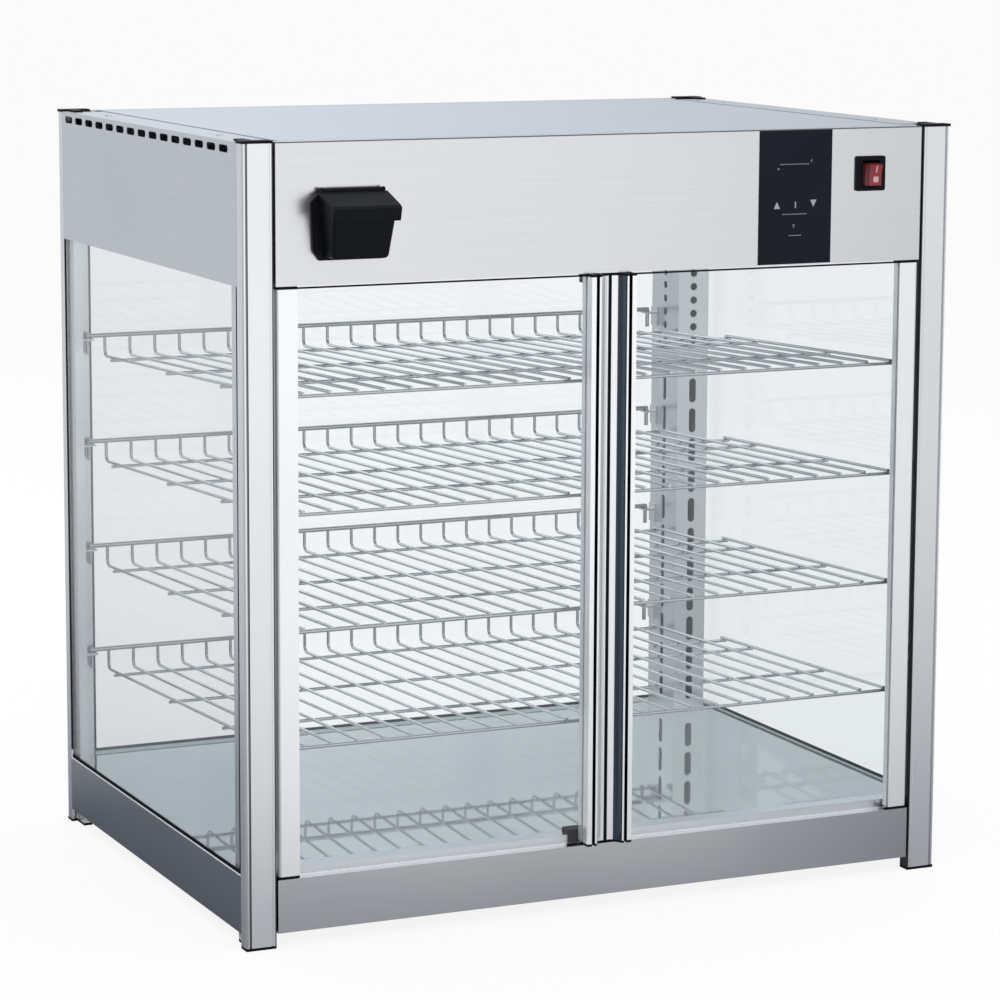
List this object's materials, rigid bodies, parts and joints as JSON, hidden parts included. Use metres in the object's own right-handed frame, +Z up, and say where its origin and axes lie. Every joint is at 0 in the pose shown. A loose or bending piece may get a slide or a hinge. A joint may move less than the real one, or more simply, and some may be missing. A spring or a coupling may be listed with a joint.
{
  "type": "heated display case",
  "caption": "Countertop heated display case: glass cabinet on corner posts with hinged glass doors, tilted wire shelves, hot-air duct and a water hopper in the fascia.",
  "frame": {"origin": "centre of the bounding box at the surface the case stands on", "axes": "+Z up, doors face -Y, +X to the viewer's right"},
  "size_m": [0.6912, 0.5426, 0.7],
  "materials": {
    "satin_aluminium": "satin anodised",
    "door_aluminium": "fine satin",
    "fascia_steel": "brushed along the width",
    "side_steel": "brushed",
    "chamber_steel": "bright",
    "frame_steel": "plain",
    "chrome_wire": "polished",
    "clear_glass": "clear",
    "black_rubber": "matte",
    "black_plastic": "fine satin",
    "panel_plastic": "satin film",
    "rocker_red": "translucent, lit",
    "tray_steel": "plain",
    "board_green": "lacquered",
    "motor_metal": "grey",
    "heater_steel": "dull"
  },
  "bodies": {
    "case": {"post_front_left": "satin_aluminium", "post_front_right": "satin_aluminium", "post_rear_left": "satin_aluminium", "post_rear_right": "satin_aluminium", "door_sill": "door_aluminium", "fascia": "fascia_steel", "front_skirt": "fascia_steel", "side_panel_left": "side_steel", "side_panel_right": "side_steel", "side_skirt_left": "side_steel", "side_skirt_right": "side_steel", "rear_panel": "side_steel", "rear_skirt": "side_steel", "top_cover": "side_steel", "floor_plate": "chamber_steel", "chamber_ceiling": "chamber_steel", "air_duct": "chamber_steel", "shelf_brackets": "chamber_steel", "upper_frame": "frame_steel", "lower_frame": "frame_steel", "base_pan": "frame_steel", "air_box": "frame_steel", "hinge_pins": "frame_steel", "panel_screws": "frame_steel", "glass_left": "clear_glass", "glass_right": "clear_glass", "glass_rear": "clear_glass", "glass_seals": "black_rubber", "post_caps": "black_plastic", "post_feet": "black_plastic", "door_catches": "black_plastic", "hopper_body": "black_plastic", "switch_bezel": "black_plastic", "power_inlet": "black_plastic", "control_panel": "panel_plastic", "humidity_tray": "tray_steel", "control_board": "board_green", "fan_motor": "motor_metal", "heating_element": "heater_steel"},
    "left_door": {"left_door_hinge_stile": "door_aluminium", "left_door_handle_stile": "door_aluminium", "left_door_glass": "clear_glass", "left_door_caps": "black_plastic", "left_door_strikers": "frame_steel"},
    "right_door": {"right_door_hinge_stile": "door_aluminium", "right_door_handle_stile": "door_aluminium", "right_door_glass": "clear_glass", "right_door_caps": "black_plastic", "right_door_strikers": "frame_steel"},
    "hopper_lid": {"hopper_lid": "black_plastic"},
    "power_rocker": {"power_rocker": "rocker_red"},
    "fan_wheel": {"fan_wheel": "motor_metal"},
    "shelf_1": {"shelf_1_deck": "chrome_wire", "shelf_1_rail": "chrome_wire"},
    "shelf_2": {"shelf_2_deck": "chrome_wire", "shelf_2_rail": "chrome_wire"},
    "shelf_3": {"shelf_3_deck": "chrome_wire", "shelf_3_rail": "chrome_wire"},
    "shelf_4": {"shelf_4_deck": "chrome_wire", "shelf_4_rail": "chrome_wire"}
  },
  "joints": [
    {"name": "left_door_hinge", "type": "hinge", "parent": "case", "child": "left_door", "pos_m": [-0.3068, -0.22475, 0.3], "axis": [0, 0, -1], "range_deg": [0, 105]},
    {"name": "right_door_hinge", "type": "hinge", "parent": "case", "child": "right_door", "pos_m": [0.3068, -0.22475, 0.3], "axis": [0, 0, 1], "range_deg": [0, 105]},
    {"name": "shelf_1_lift", "type": "slide", "parent": "case", "child": "shelf_1", "axis": [0, 0, 1], "range_m": [0, 0.02]},
    {"name": "shelf_2_lift", "type": "slide", "parent": "case", "child": "shelf_2", "axis": [0, 0, 1], "range_m": [0, 0.02]},
    {"name": "shelf_3_lift", "type": "slide", "parent": "case", "child": "shelf_3", "axis": [0, 0, 1], "range_m": [0, 0.02]},
    {"name": "shelf_4_lift", "type": "slide", "parent": "case", "child": "shelf_4", "axis": [0, 0, 1], "range_m": [0, 0.02]},
    {"name": "hopper_lid_hinge", "type": "hinge", "parent": "case", "child": "hopper_lid", "pos_m": [-0.2475, -0.23625, 0.65678], "axis": [-1, 0, 0], "range_deg": [0, 75]},
    {"name": "rocker_tilt", "type": "hinge", "parent": "case", "child": "power_rocker", "pos_m": [0.2612, -0.22875, 0.6569], "axis": [1, 0, 0], "range_deg": [-16, 0]},
    {"name": "fan_spin", "type": "hinge", "parent": "case", "child": "fan_wheel", "pos_m": [0.205, 0.16425, 0.6], "axis": [0, 0, 1], "continuous": true}
  ]
}
